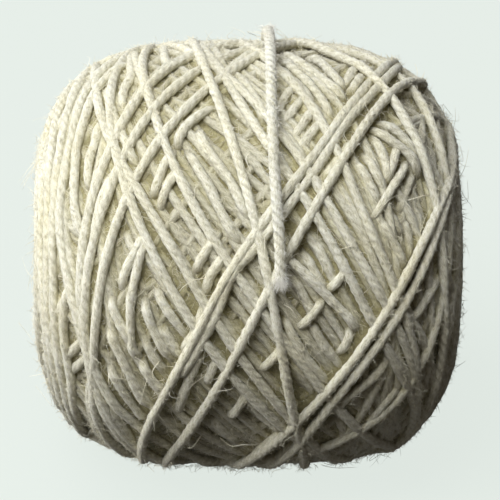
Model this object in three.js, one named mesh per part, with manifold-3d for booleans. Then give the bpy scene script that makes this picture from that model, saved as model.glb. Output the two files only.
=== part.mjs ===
// A ball of plied cotton blend yarn, in millimetres, +Z up.
// The ball is wound about a level axis along X and stands on a small flat spot at z = 0.
// Its face, the side that is looked at, leans back from the front (-Y) by faceRise.

import * as THREE from "three";
import { mergeVertices } from "three/addons/utils/BufferGeometryUtils.js";
import Module from "manifold-3d";

// Driving dimensions
const woundHalfWidth = 44; // of the wound form under the main turns, along the axis
const woundRadius = 43.8;
const squareness = 3.4; // exponent of the outline: 2 is an ellipse, more is squarer
const dimpleRadius = 9; // hollow that winding leaves at each end of the axis
const dimpleDepth = 3.5;
const flatDepth = 0.6; // how far the ball is pressed flat where it rests
const faceRise = 30; // degrees above level
const yarnDiameter = 2.2;
const yarnPitch = 2.1; // between strands that run side by side
const endDiameter = 2.4; // the loose end is not pulled tight

// Fineness of the surfaces
const outlineSteps = 18; // along the wound form's outline
const aroundSteps = 36;
const turnSteps = 32; // along each main turn
const turnSides = 5;
const smoothing = 0.08; // slivers where turns meet are closed up within this distance
const endSteps = 25; // one every 2 diameters
const endSides = 8;

// Main turns: each lies in a plane that cuts the ball, across = shift + lean * up + bow * out,
// with across toward +X, up the face and out from it, counted from the middle of the ball.
// Lift is the height of a strand's centre over the wound form, and later turns lie higher.
const turnColumns = ["strands", "lift", "shift", "lean", "bow"];
const mainTurns = [
  [1, 0.1, 0, -0.28, -1.08],
  [1, 0.1, 6, 0.1, 0.9],
  [1, 0.15, 0, -0.61, -0.34],
  [1, 0.2, 13, -0.36, 0.35],
  [1, 0.25, 15, -0.15, 0.8],
  [2, 0.35, 6, 0.64, -0.14],
  [1, 0.4, -1.8, 0.24, -0.77],
  [1, 0.45, 11, -0.57, 0.18],
  [1, 0.5, -7.3, 0.32, -0.52],
  [1, 0.55, 22, 0.62, 0.37],
  [1, 0.6, 10.5, 0.6, -0.03],
  [1, 0.7, -2.5, -0.24, 0.13],
];

// Route of the loose end, from where it comes out of the winding behind the top to its free
// end at the middle of the face: degrees round the ball from the face, millimetres across,
// and distance from the axis.
const routeColumns = ["around", "across", "away"];
const endRoute = [
  [140, 3.2, 45.35],
  [130, 3.4, 45.6],
  [120, 3.6, 46.0],
  [110, 3.9, 46.4],
  [99, 4.1, 46.7],
  [88, 4.4, 46.9],
  [77, 4.6, 46.75],
  [66, 4.8, 46.85],
  [55, 4.9, 46.4],
  [44, 5.0, 46.45],
  [33, 5.2, 46.9],
  [23, 5.5, 46.75],
  [13, 6.0, 46.85],
  [3, 6.6, 46.75],
  [-7, 6.8, 46.9],
];

const creamYarn = new THREE.MeshStandardMaterial({ color: 0xe9e6d4, roughness: 0.95, metalness: 0 });
const creamEnd = new THREE.MeshStandardMaterial({ color: 0xefecdd, roughness: 0.95, metalness: 0 });

const wasm = await Module();
wasm.setup();

const centreHeight = woundRadius - flatDepth;
const faceAngle = THREE.MathUtils.degToRad(faceRise);
const faceOut = new THREE.Vector3(0, -Math.cos(faceAngle), Math.sin(faceAngle));
const faceUp = new THREE.Vector3(0, Math.sin(faceAngle), Math.cos(faceAngle));

function namedRows(columns, rows) {
  return rows.map((row) => Object.fromEntries(columns.map((name, i) => [name, row[i]])));
}

// Place at a distance along and away from the axis, at an angle round it from the face
function placeAt(along, away, angle) {
  const place = new THREE.Vector3(along, 0, 0);
  place.addScaledVector(faceOut, away * Math.cos(angle));
  place.addScaledVector(faceUp, away * Math.sin(angle));
  return place;
}

// Radius of the wound form at a distance along its axis: a superellipse
function woundRadiusAt(along) {
  const share = Math.min(Math.abs(along) / woundHalfWidth, 1);
  return woundRadius * (1 - share ** squareness) ** (1 / squareness);
}

// Where a turn's plane meets the wound form at one angle, found by halving, and the
// outward direction there, which is the slope of the superellipse
function stationOn(turn, angle) {
  const drift = turn.lean * Math.sin(angle) + turn.bow * Math.cos(angle);
  let inside = 0;
  let outside = 2 * woundRadius;
  while (outside - inside > 1e-6) {
    const away = (inside + outside) / 2;
    if (away < woundRadiusAt(turn.shift + drift * away)) inside = away;
    else outside = away;
  }
  const along = turn.shift + drift * inside;
  const slopeAlong = Math.sign(along) * Math.abs(along / woundHalfWidth) ** (squareness - 1);
  const slopeAway = (inside / woundRadius) ** (squareness - 1);
  return {
    place: placeAt(along, inside, angle),
    outward: placeAt(slopeAlong / woundHalfWidth, slopeAway / woundRadius, angle).normalize(),
  };
}

function solidFrom(geometry) {
  geometry.deleteAttribute("normal");
  geometry.deleteAttribute("uv");
  const merged = mergeVertices(geometry, 1e-5);
  return new wasm.Manifold(new wasm.Mesh({
    numProp: 3,
    vertProperties: merged.attributes.position.array,
    triVerts: Uint32Array.from(merged.index.array),
  }));
}

function geometryFrom(solid) {
  const mesh = solid.getMesh();
  const geometry = new THREE.BufferGeometry();
  geometry.setAttribute("position", new THREE.BufferAttribute(mesh.vertProperties, 3));
  geometry.setIndex(new THREE.BufferAttribute(mesh.triVerts, 1));
  geometry.computeVertexNormals();
  return geometry;
}

// The wound form: its outline, with a dimple at each end, turned about the axis
function woundForm() {
  const outline = [];
  for (let i = 0; i <= outlineSteps; i += 1) {
    const turn = Math.PI * (i / outlineSteps);
    const reach = Math.abs(Math.cos(turn)) ** (2 / squareness);
    const radius = i % outlineSteps === 0 ? 0 : woundRadius * Math.sin(turn) ** (2 / squareness);
    const dimple = dimpleDepth * Math.max(0, 1 - (radius / dimpleRadius) ** 2);
    outline.push(new THREE.Vector2(radius, -Math.sign(Math.cos(turn)) * (woundHalfWidth * reach - dimple)));
  }
  const form = new THREE.LatheGeometry(outline, aroundSteps);
  form.rotateZ(-Math.PI / 2);
  return solidFrom(form);
}

// One strand of a turn: a torus whose points are moved onto the turn's path
function strand(turn, sideStep) {
  const stations = [];
  for (let i = 0; i < turnSteps; i += 1) stations.push(stationOn(turn, (2 * Math.PI * i) / turnSteps));
  const torus = new THREE.TorusGeometry(1, 0.5, turnSides, turnSteps);
  const { position, uv } = torus.attributes;
  for (let i = 0; i < position.count; i += 1) {
    const step = Math.round(uv.getX(i) * turnSteps) % turnSteps;
    const around = (2 * Math.PI * (Math.round(uv.getY(i) * turnSides) % turnSides)) / turnSides;
    const { place, outward } = stations[step];
    const sideways = stations[(step + 1) % turnSteps].place.clone();
    sideways.sub(stations[(step + turnSteps - 1) % turnSteps].place).cross(outward).normalize();
    const point = place.clone();
    point.addScaledVector(sideways, sideStep + (yarnDiameter / 2) * Math.cos(around));
    point.addScaledVector(outward, turn.lift + (yarnDiameter / 2) * Math.sin(around));
    position.setXYZ(i, point.x, point.y, point.z);
  }
  return solidFrom(torus);
}

function yarnBall() {
  let ball = woundForm();
  for (const turn of namedRows(turnColumns, mainTurns)) {
    for (let i = 0; i < turn.strands; i += 1) {
      ball = ball.add(strand(turn, yarnPitch * (i - (turn.strands - 1) / 2)));
    }
  }
  const floor = new THREE.BoxGeometry(4 * woundHalfWidth, 4 * woundRadius, woundRadius);
  floor.translate(0, 0, -centreHeight - woundRadius / 2);
  ball = ball.subtract(solidFrom(floor)).asOriginal().simplify(smoothing);
  // Pockets shut in under crossing strands are filled: only the outer skin is kept.
  const [skin] = ball.decompose().sort((a, b) => b.volume() - a.volume());
  const mesh = new THREE.Mesh(geometryFrom(skin), creamYarn);
  mesh.name = "yarn_ball";
  return mesh;
}

function looseEnd() {
  const places = namedRows(routeColumns, endRoute).map(({ around, across, away }) => (
    placeAt(across, away, THREE.MathUtils.degToRad(around))
  ));
  const section = new THREE.Shape();
  for (let i = 0; i < endSides; i += 1) {
    const angle = (2 * Math.PI * i) / endSides;
    const corner = [(endDiameter / 2) * Math.cos(angle), (endDiameter / 2) * Math.sin(angle)];
    if (i === 0) section.moveTo(...corner);
    else section.lineTo(...corner);
  }
  const geometry = new THREE.ExtrudeGeometry(section, {
    steps: endSteps,
    extrudePath: new THREE.CatmullRomCurve3(places),
  });
  const mesh = new THREE.Mesh(geometry, creamEnd);
  mesh.name = "loose_end";
  return mesh;
}

const yarn = new THREE.Group();
yarn.add(yarnBall(), looseEnd());
yarn.position.z = centreHeight;

export default yarn;
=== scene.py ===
import math
import time

import bpy
import numpy as np
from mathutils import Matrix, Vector


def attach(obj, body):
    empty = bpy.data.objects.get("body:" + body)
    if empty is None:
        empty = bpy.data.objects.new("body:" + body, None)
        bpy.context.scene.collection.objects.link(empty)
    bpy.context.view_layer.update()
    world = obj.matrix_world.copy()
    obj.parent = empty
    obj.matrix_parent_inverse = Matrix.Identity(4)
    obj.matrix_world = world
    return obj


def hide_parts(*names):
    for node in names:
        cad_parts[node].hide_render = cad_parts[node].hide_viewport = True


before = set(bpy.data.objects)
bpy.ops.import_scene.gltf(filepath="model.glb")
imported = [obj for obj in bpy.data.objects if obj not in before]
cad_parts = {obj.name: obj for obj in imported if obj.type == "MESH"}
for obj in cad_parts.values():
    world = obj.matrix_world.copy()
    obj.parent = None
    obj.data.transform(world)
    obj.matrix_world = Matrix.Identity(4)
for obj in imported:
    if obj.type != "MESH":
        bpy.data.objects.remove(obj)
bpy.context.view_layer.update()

startedAt = time.time()
mm = 0.001


def report(words):
    # one line for each stage, with the seconds since the start
    print("yarn ball: %s (%.0f s)" % (words, time.time() - startedAt))


# The ball is wound on the X axis, and its round is squarish: the part across over the
# half width, and the distance from the axis over the radius, each to the power of
# squareness, add up to 1.
ballForm = {
    "centre": (0.0, 0.0, 43.2),   # mm, where the winding axis passes
    "halfWidth": 45.0,            # mm, to the outside of the last turns
    "radius": 45.0,
    "squareness": 3.4,
    "faceTilt": 30.0,             # degrees that the seen face looks up
    "softBelow": 9.0,             # mm above the floor where the turns begin to give
    "overFloor": 1.08,            # radii that the middle of the lowest strand stays over it
}
faceTilt = math.radians(ballForm["faceTilt"])
faceOut = np.array([0.0, -math.cos(faceTilt), math.sin(faceTilt)])
faceUp = np.array([0.0, math.sin(faceTilt), math.cos(faceTilt)])
ballMiddle = np.array(ballForm["centre"])
faceAxes = np.array([[1.0, 0.0, 0.0], faceUp, faceOut])


def toFrame(points):
    # across, up and out in mm from the middle, as the frame's own x, y and z in mm
    return points @ faceAxes + ballMiddle


def hullSize(inset):
    # the half width and radius of the round that lies inset mm under the outside; a pair
    # gives its inset at the two ends first, then round the axis
    ends, around = inset if isinstance(inset, tuple) else (inset, inset)
    return ballForm["halfWidth"] - ends, ballForm["radius"] - around


def hullValue(points, inset):
    # the sum of the two powers for such a round: under 1 inside it, over 1 outside
    halfWidth, radius = hullSize(inset)
    power = ballForm["squareness"]
    away = np.hypot(points[..., 1], points[..., 2])
    return (np.abs(points[..., 0]) / halfWidth) ** power + (away / radius) ** power


def ontoHull(points, inset):
    # each point slides along its ray from the middle until the sum is 1
    value = hullValue(points, inset) ** (-1.0 / ballForm["squareness"])
    return points * value[..., None]


def halve(holds, low, high, steps=42):
    # the place between low and high where holds() stops being true: the span is halved
    # at each step, and the half with the change is kept
    low, high = np.array(low, float), np.array(high, float)
    for _ in range(steps):
        middle = (low + high) / 2
        inside = holds(middle)
        low = np.where(inside, middle, low)
        high = np.where(inside, high, middle)
    return (low + high) / 2


def unit(vectors):
    # each vector over its own length
    return vectors / np.linalg.norm(vectors, axis=-1, keepdims=True)


def evenSteps(points, step, closed, fewest=4):
    # the same line with its points one step apart, by its summed length
    line = np.vstack([points, points[:1]]) if closed else points
    along = np.concatenate([[0], np.cumsum(np.linalg.norm(np.diff(line, axis=0), axis=1))])
    count = max(int(round(along[-1] / step)), fewest)
    wanted = np.linspace(0, along[-1], count if closed else count + 1, endpoint=not closed)
    return np.stack([np.interp(wanted, along, line[:, k]) for k in range(line.shape[1])], axis=1)


def roundAngles(count):
    # so many angles, evenly over one round
    return np.arange(count) * 2 * math.pi / count


def smoothLine(points, parts):
    # a curve through the points: each span is the cubic that leaves and meets them at half
    # the way between the points on both sides
    before = np.vstack([2 * points[0] - points[1], points[:-1]])
    after = np.vstack([points[1:], 2 * points[-1] - points[-2]])
    slope = (after - before) / 2
    t = np.linspace(0, 1, parts, endpoint=False)[None, :, None]
    a, b = points[:-1, None], points[1:, None]
    m, n = slope[:-1, None], slope[1:, None]
    curve = ((2 * t ** 3 - 3 * t ** 2 + 1) * a + (t ** 3 - 2 * t ** 2 + t) * m
             + (3 * t ** 2 - 2 * t ** 3) * b + (t ** 3 - t ** 2) * n)
    return np.vstack([curve.reshape(-1, points.shape[1]), points[-1:]])


def routeLine(rows, step):
    # rows of degrees round from the face, mm across and mm from the axis, as an even line:
    # up is the distance times the sine, and out is the distance times the cosine
    rows = np.array(rows, float)
    angle = np.radians(rows[:, 0])
    points = np.column_stack([rows[:, 1], rows[:, 2] * np.sin(angle), rows[:, 2] * np.cos(angle)])
    return evenSteps(smoothLine(points, parts=24), step, False)


# the camera
cameraPlace = {
    "distance": 1000.0,             # mm from the middle of the ball
    "halfView": 52.57,              # mm seen on each side at the middle of the ball
    "middlePixel": (247.0, 254.0),  # where the middle falls in the 500 x 500 frame
    "frameSize": 500.0,
    "sensorWidth": 36.0,            # mm
    "near": 0.01,                   # m
    "far": 20.0,
    "searched": (0.93, 1.02, 1500),  # from, to (parts of the way to the middle) and steps
}
pixelsPerMm = cameraPlace["frameSize"] / 2 / cameraPlace["halfView"]
aim = np.array([
    (cameraPlace["frameSize"] / 2 - cameraPlace["middlePixel"][0]) / pixelsPerMm,
    (cameraPlace["middlePixel"][1] - cameraPlace["frameSize"] / 2) / pixelsPerMm,
    0.0,
])
eye = aim + np.array([0.0, 0.0, cameraPlace["distance"]])
cameraData = bpy.data.cameras.new("camera")
cameraData.sensor_width = cameraPlace["sensorWidth"]
cameraData.lens = cameraData.sensor_width / 2 * cameraPlace["distance"] / cameraPlace["halfView"]
cameraData.clip_start = cameraPlace["near"]
cameraData.clip_end = cameraPlace["far"]
camera = bpy.data.objects.new("camera", cameraData)
bpy.context.collection.objects.link(camera)
camera.location = toFrame(eye) * mm
camera.rotation_euler = Vector(-faceOut).to_track_quat("-Z", "Y").to_euler()
bpy.context.scene.camera = camera


def seenAt(pixels, inset):
    # the point of the round, inset mm under the outside, where each pixel's ray first meets
    # it: the first of many steps along the ray that lies inside, then the span is halved
    pixels = np.atleast_2d(np.array(pixels, float))
    middle = np.array(cameraPlace["middlePixel"])
    flat = (pixels - middle) * (1, -1) / pixelsPerMm
    ray = np.column_stack([flat, np.zeros(len(flat))]) - eye
    reach = np.linspace(*cameraPlace["searched"])
    value = hullValue(eye + ray[:, None, :] * reach[None, :, None], inset)
    first = np.where((value < 1).any(axis=1), (value < 1).argmax(axis=1), value.argmin(axis=1))
    low, high = reach[np.maximum(first - 1, 0)], reach[first]
    met = halve(lambda t: hullValue(eye + ray * t[:, None], inset) > 1, low, high)
    return eye + ray * met[:, None]


# the materials, written as sums on sockets
class Wire:
    # an output socket of a finish, which sums can be written with
    def __init__(self, finish, socket):
        # the two go together, because a sum adds its nodes to the same finish
        self.finish = finish
        self.socket = socket

    def math(self, operation, other=None, swapped=False):
        # one Math node: self operation other, or the two the other way round
        pair = (other, self) if swapped else (self, other)
        sockets = {k: v for k, v in enumerate(pair) if v is not None}
        return self.finish.node("ShaderNodeMath", {"operation": operation}, sockets)

    def limited(self):
        # held between 0 and 1
        return self.math("MINIMUM", 1.0).math("MAXIMUM", 0.0)

    def over(self, start, gain):
        # 0 up to the start, then more by the gain, up to 1
        return ((self - start) * gain).limited()

    def under(self, start, gain):
        # 0 from the start upwards, then more by the gain below it, up to 1
        return ((start - self) * gain).limited()


def signFor(operation, swapped):
    # what a sign such as + does between an output and another one or a number
    return lambda self, other: self.math(operation, other, swapped)


for word, operation in (("add", "ADD"), ("sub", "SUBTRACT"), ("mul", "MULTIPLY"),
                        ("truediv", "DIVIDE"), ("pow", "POWER")):
    setattr(Wire, "__%s__" % word, signFor(operation, False))
    setattr(Wire, "__r%s__" % word, signFor(operation, True))  # so that 1 - mask works


class Finish:
    # a material, built node by node
    def __init__(self, name):
        # a new material under this name, with an empty tree
        self.material = bpy.data.materials.new(name)
        self.material.use_nodes = True
        self.tree = self.material.node_tree
        self.tree.nodes.clear()

    def node(self, kind, settings=None, sockets=None, output=0):
        # settings first, then a value or a link for each named or numbered socket
        made = self.tree.nodes.new(kind)
        for key, value in (settings or {}).items():
            setattr(made, key, value)
        for key, value in (sockets or {}).items():
            if isinstance(value, Wire):
                self.tree.links.new(value.socket, made.inputs[key])
            else:
                made.inputs[key].default_value = value
        return Wire(self, made.outputs[output] if made.outputs else None)

    def mixColour(self, factor, first, second, blend="MIX"):
        # first where factor is 0, second where it is 1
        return self.node("ShaderNodeMix", {"data_type": "RGBA", "blend_type": blend},
                         {0: factor, 6: first, 7: second}, 2)

    def vector(self, x, y, z):
        # three numbers or outputs as one vector
        return self.node("ShaderNodeCombineXYZ", None, {0: x, 1: y, 2: z})

    def noise(self, vector, scale, detail, roughness=0.5):
        # cloudy noise about 0.5 at a vector, so many patches to each unit of it
        return self.node("ShaderNodeTexNoise", None, {
            "Vector": vector, "Scale": scale, "Detail": detail, "Roughness": roughness})

    def place(self):
        # where a point lies in the piece's own coordinates, in metres
        return self.node("ShaderNodeTexCoord", None, None, 3)

    def number(self, name):
        # a number that the mesh carries at each point
        return self.node("ShaderNodeAttribute", {"attribute_name": name}, None, 2)

    def bump(self, distance, height):
        # the normal that a height gives, distance metres high where it is 1
        return self.node("ShaderNodeBump", None, {
            "Strength": 1.0, "Distance": distance, "Height": height})

    def done(self, colour, roughness, bump, **fixed):
        # one shader; fixed values go straight on its sockets, by the sockets' own names
        sockets = {"Base Color": colour, "Roughness": roughness}
        if bump is not None:
            sockets["Normal"] = bump
        for key, value in fixed.items():
            sockets[key.replace("_", " ")] = value
        shader = self.node("ShaderNodeBsdfPrincipled", None, sockets)
        self.node("ShaderNodeOutputMaterial", None, {0: shader})
        return self.material


def linear(red, green, blue):
    # a colour as seen on a screen, 0 to 255, turned into the shader's linear values
    parts = np.array([red, green, blue]) / 255
    low, high = parts / 12.92, ((parts + 0.055) / 1.055) ** 2.4
    return tuple(np.where(parts <= 0.04045, low, high)) + (1.0,)


yarnLook = {
    "thickness": 2.15,             # mm
    "plies": 3,
    "twistLength": 7.0,            # mm for one whole turn of the ply
    "cream": linear(252, 250, 234),
    "warm": linear(243, 238, 211),
    "grey": linear(230, 227, 208),
    "depthShadeColour": linear(137, 128, 90),   # painted shade, olive brown, where turns lie deep under the outside
    "paintedNookShade": linear(216, 209, 149),  # painted shade between turns, warm as light would be after going from one to another
    "nookStart": 0.0,              # mm under what lies round about, where that painted shade begins
    "nookDeep": 1.5,
    "depthShadeStart": 1.0,               # mm under the outside where the painted shade on turns begins
    "depthShadeDeep": 4.5,
    "roughness": 0.86,
    "sheen": 0.5,
    "shade": linear(168, 161, 120),  # painted shade between fibres and in the grooves between plies
    "grooveDark": 0.28,            # how strongly the grooves between plies take that painted shade
    "pale": 0.45,                  # how strongly the palest fibres, and the painted highlights on them, stand out
    "streaks": 3.0,                # how strongly the fibres show as streaks: darker fibres, with painted shade between them
    "strayings": 1.7,              # how strongly the finest fibres show, with painted shade between them
    "grooveDepth": 0.26,           # mm, of the bump between plies
}
looseLook = dict(yarnLook, thickness=2.4, twistLength=6.2, cream=linear(248, 248, 238),
                 grooveDark=0.4, pale=0.4, grooveDepth=0.3)
fibreGrain = {
    "plyEdge": 0.7,                # under 1, the grooves between plies are narrow
    "kink": 0.28,                  # how far each ply shifts the streaks round the strand
    "fineKink": 2.0,               # how many times that for the finest fibres
    "streakSize": (1.7, 0.27),     # the streaks' pattern: its radius, and its run for each mm
    "streakNoise": (2.1, 3.0, 0.72),  # scale, detail and roughness
    "fineSize": (2.8, 0.9),
    "fineNoise": (2.1, 2.0, 0.65),
    "patchNoise": (70.0, 3.0, 0.55),
    "lengthRun": 0.09,             # of the long changes of shade, for each mm
    "lengthNoise": (1.0, 2.0),
    "warmFrom": (0.38, 3.0),       # where in its noise a shade starts, and its gain
    "greyFrom": (0.45, 2.0),
    "greyShare": 0.35,
    "streakDarkFrom": 0.52,
    "streakPaleFrom": (0.55, 3.5),
    "fineDarkFrom": 0.5,
    "finePaleFrom": (0.56, 4.0),
    "depthShare": 0.9,             # how much of the painted shade, by depth and between turns, is taken at the most
    "relief": (0.4, 1.1, 0.7),     # heights of the plies, the streaks and the finest fibres
    "roughSpread": 0.2,
    "sheenRoughness": 0.6,
    "gloss": 0.2,
}


def yarnFinish(name, look):
    # ply lines wind round the strand at one turn for each twist length, while the fibres
    # themselves lie along it, as in balanced yarn; turns deep in the ball get painted olive brown shade.
    # A ply's height is (cos(plies * (round + turn)) / 2 + 1/2) to the power of its edge.
    finish, grain = Finish(name), fibreGrain
    lay = finish.node("ShaderNodeUVMap", {"uv_map": "lay"})
    around, along = (finish.node("ShaderNodeSeparateXYZ", None, {0: lay}, k) for k in (0, 1))
    angle = around * (2 * math.pi / (math.pi * look["thickness"]))
    turned = (angle + along * (2 * math.pi / look["twistLength"])) * look["plies"]
    ply = (turned.math("COSINE") * 0.5 + 0.5) ** grain["plyEdge"]
    kink = turned.math("SINE") * grain["kink"]

    def fibreNoise(shift, size, noise):
        # noise on a tube of the pattern's radius, which the strand's round is laid on
        across, out = angle.math("COSINE") * size[0] + shift, angle.math("SINE") * size[0]
        return finish.noise(finish.vector(across, out, along * size[1]), *noise)

    streaks = fibreNoise(kink, grain["streakSize"], grain["streakNoise"])
    fine = fibreNoise(kink * grain["fineKink"], grain["fineSize"], grain["fineNoise"])
    patches = finish.noise(finish.place(), *grain["patchNoise"])
    lengths = finish.noise(finish.vector(0.0, 0.0, along * grain["lengthRun"]), *grain["lengthNoise"])
    # painted shade: the depth under the outside, and the depth under the ground round about, darken the
    # colour towards olive brown
    deep = (finish.number("paintedShadeDepth") - look["depthShadeStart"]) / (look["depthShadeDeep"] - look["depthShadeStart"])
    between = (finish.number("paintedNookShade") - look["nookStart"]) / (look["nookDeep"] - look["nookStart"])
    white, shade, colour = (1, 1, 1, 1), look["shade"], look["cream"]
    for share, other, blend in (
        (patches.over(*grain["warmFrom"]), look["warm"], "MIX"),
        (lengths.over(*grain["greyFrom"]) * grain["greyShare"], look["grey"], "MIX"),
        # painted shade in the ply grooves and between fibres, and painted highlights on the palest fibres
        ((1 - ply) * look["grooveDark"], shade, "MULTIPLY"),
        (streaks.under(grain["streakDarkFrom"], look["streaks"]), shade, "MULTIPLY"),
        (streaks.over(*grain["streakPaleFrom"]) * look["pale"], white, "MIX"),
        (fine.under(grain["fineDarkFrom"], look["strayings"]), shade, "MULTIPLY"),
        (fine.over(*grain["finePaleFrom"]) * look["pale"], white, "MIX"),
        (deep.limited() * grain["depthShare"], look["depthShadeColour"], "MULTIPLY"),
        (between.limited() * grain["depthShare"], look["paintedNookShade"], "MULTIPLY"),
    ):
        colour = finish.mixColour(share, colour, other, blend)
    plyHeight, streakHeight, fineHeight = grain["relief"]
    height = ply * plyHeight + streaks * streakHeight + fine * fineHeight
    rough = look["roughness"] + (fine - 0.5) * grain["roughSpread"]
    return finish.done(colour, rough, finish.bump(look["grooveDepth"] * mm, height),
                       Sheen_Weight=look["sheen"], Sheen_Roughness=grain["sheenRoughness"],
                       Specular_IOR_Level=grain["gloss"])


strandFinish = yarnFinish("cotton_blend_strand", yarnLook)
looseFinish = yarnFinish("cotton_blend_loose_end", looseLook)

hairLook = {
    "pale": linear(252, 249, 234),
    "warm": linear(240, 233, 204),
    "patchNoise": (160.0, 2.0),
    "warmFrom": (0.35, 3.0),
    "roughness": 0.6,
    "roughSpread": 0.2,
    "sheen": 0.3,
    "gloss": 0.4,
}
frayedLook = dict(hairLook, pale=linear(255, 254, 248), warm=linear(250, 247, 238))


def fibreFinish(name, look):
    # single fibres, some whiter than others from place to place
    finish = Finish(name)
    patches = finish.noise(finish.place(), *look["patchNoise"])
    colour = finish.mixColour(patches.over(*look["warmFrom"]), look["pale"], look["warm"])
    return finish.done(colour, look["roughness"] + patches * look["roughSpread"], None,
                       Sheen_Weight=look["sheen"], Specular_IOR_Level=look["gloss"])


fuzzFinish = fibreFinish("loose_fibre", hairLook)
frayedFinish = fibreFinish("frayed_fibre", frayedLook)

bedLook = {
    # olive colours of painted shade, for the cream yarn that lies in shade between the turns
    "dark": linear(122, 114, 76),
    "pale": linear(190, 183, 142),
    "patchNoise": (140.0, 4.0, 0.6),
    "strokeNoise": (1500.0, 3.0, 0.75),
    "colourShares": (0.6, 0.8),    # of the patches and of the strokes
    "paleFrom": (0.5, 2.6),
    "heightShares": (0.4, 0.8),
    "bump": 0.6,                   # mm
    "roughness": 0.9,
    "roughSpread": 0.1,
    "sheen": 0.2,
}


def bedFinish():
    # matted fibres between the turns, in olive painted shade and full of short dark and pale
    # strokes: both colour and height are sums of shares of the patches and the strokes
    finish, look = Finish("packed_winding"), bedLook
    place = finish.place()
    patches = finish.noise(place, *look["patchNoise"])
    strokes = finish.noise(place, *look["strokeNoise"])
    share = patches * look["colourShares"][0] + strokes * look["colourShares"][1]
    height = strokes * look["heightShares"][1] + patches * look["heightShares"][0]
    colour = finish.mixColour(share.over(*look["paleFrom"]), look["dark"], look["pale"])
    return finish.done(colour, look["roughness"] + patches * look["roughSpread"],
                       finish.bump(look["bump"] * mm, height), Sheen_Weight=look["sheen"])


packedFinish = bedFinish()


# meshes from whole arrays
def newPiece(name, points, quads, corners3, material, replaced):
    # points in mm; quads are rows of four point numbers and corners3 rows of three
    mesh = bpy.data.meshes.new(name)
    quads = np.asarray(quads, np.int32).reshape(-1, 4)
    corners3 = np.asarray(corners3, np.int32).reshape(-1, 3)
    corners = np.concatenate([quads.ravel(), corners3.ravel()])
    counts = np.repeat([4, 3], [len(quads), len(corners3)]).astype(np.int32)
    starts = np.concatenate([[0], np.cumsum(counts)[:-1]]).astype(np.int32)
    mesh.vertices.add(len(points))
    mesh.vertices.foreach_set("co", (np.asarray(points) * mm).astype(np.float32).ravel())
    mesh.loops.add(len(corners))
    mesh.loops.foreach_set("vertex_index", corners)
    mesh.polygons.add(len(counts))
    mesh.polygons.foreach_set("loop_start", starts)
    mesh.polygons.foreach_set("loop_total", counts)
    mesh.polygons.foreach_set("use_smooth", np.ones(len(counts), bool))
    mesh.update(calc_edges=True)
    mesh.materials.append(material)
    piece = bpy.data.objects.new(name, mesh)
    bpy.context.collection.objects.link(piece)
    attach(piece, "root")
    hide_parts(replaced)
    return piece


def setUv(piece, perCorner):
    # the piece's own UV map: round the strand and along it, both in mm
    layer = piece.data.uv_layers.new(name="lay")
    layer.uv.foreach_set("vector", np.asarray(perCorner, np.float32).ravel())


def setNumber(piece, name, perPoint):
    # one number for each point of the mesh
    field = piece.data.attributes.new(name, "FLOAT", "POINT")
    field.data.foreach_set("value", np.asarray(perPoint, np.float32))


def ringFaces(rings, sides):
    # the faces of a closed tube whose point number is ring * sides + place round it, with
    # a point more for each end: the ring and place of each four-cornered face, the numbers
    # of its corners, and the three-cornered faces that close the ends
    ring, place = np.meshgrid(np.arange(rings - 1), np.arange(sides), indexing="ij")
    ring, place = ring.ravel(), place.ravel()
    beside = (place + 1) % sides
    quads = np.stack([ring * sides + place, ring * sides + beside,
                      (ring + 1) * sides + beside, (ring + 1) * sides + place], axis=1)
    number = np.arange(sides)
    after = (number + 1) % sides
    last = (rings - 1) * sides
    caps = np.vstack([
        np.stack([np.full(sides, rings * sides), after, number], axis=1),
        np.stack([np.full(sides, rings * sides + 1), last + number, last + after], axis=1)])
    return ring, place, quads, caps


def tube(path, outward, section, angles, turnAngle, startAlong, tipOut=0.3):
    # rings of a section carried along a path: each point lies at its angle from outward,
    # at its radius from section, and the whole ring turns by turnAngle as it goes; a point
    # tipOut mm past each end closes it
    rings, sides = len(path), len(angles)
    tangent = unit(np.gradient(path, axis=0))
    side = unit(np.cross(tangent, outward))
    out = np.cross(side, tangent)
    angle = angles[None, :] + turnAngle[:, None]
    spokes = np.cos(angle)[..., None] * out[:, None] + np.sin(angle)[..., None] * side[:, None]
    spokes = np.broadcast_to(section, (rings, sides))[..., None] * spokes
    points = np.vstack([(path[:, None] + spokes).reshape(-1, 3),
                        path[0] - tangent[0] * tipOut, path[-1] + tangent[-1] * tipOut])
    along = startAlong + np.concatenate([[0], np.cumsum(np.linalg.norm(np.diff(path, axis=0), axis=1))])
    ring, place, quads, caps = ringFaces(rings, sides)
    u = np.concatenate([angle, angle[:, :1] + 2 * math.pi], axis=1) * float(np.mean(section))
    corners = ((0, 0), (0, 1), (1, 1), (1, 0))
    uv = np.stack([np.stack([u[ring + on, place + beside], along[ring + on]], axis=1)
                   for on, beside in corners], axis=1).reshape(-1, 2)
    capUv = np.zeros((len(caps) * 3, 2))
    capUv[:sides * 3, 1] = along[0]
    capUv[sides * 3:, 1] = along[-1]
    return points, quads, caps, uv, capUv


def joined(parts):
    # several tubes as one mesh's arrays: each one's point numbers go on from the last's
    points, quads, caps, uvs, capUvs = zip(*parts)
    shifts = np.cumsum([0] + [len(some) for some in points[:-1]])
    quads, caps = ([rows + shift for rows, shift in zip(kind, shifts)] for kind in (quads, caps))
    return np.vstack(points), np.vstack(quads), np.vstack(caps), np.vstack(uvs + capUvs)


# the loose end, a free cord over the face
looseEnd = {
    "thickness": 2.4,             # mm
    "length": 119.5,              # mm
    "plies": 3,
    "twistLength": 6.2,           # mm
    "pointsRound": 18,
    "step": 0.28,                 # mm between rings
    "lobe": 0.11,                 # how far the plies stand out, as a part of the radius
    "lobeGain": 1.6,
    "lobeShape": 0.7,             # under 1, the grooves between plies are narrow
    "tip": 0.65,                  # the free end's part of the radius
    "tipLength": 1.6,             # mm
}
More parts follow.
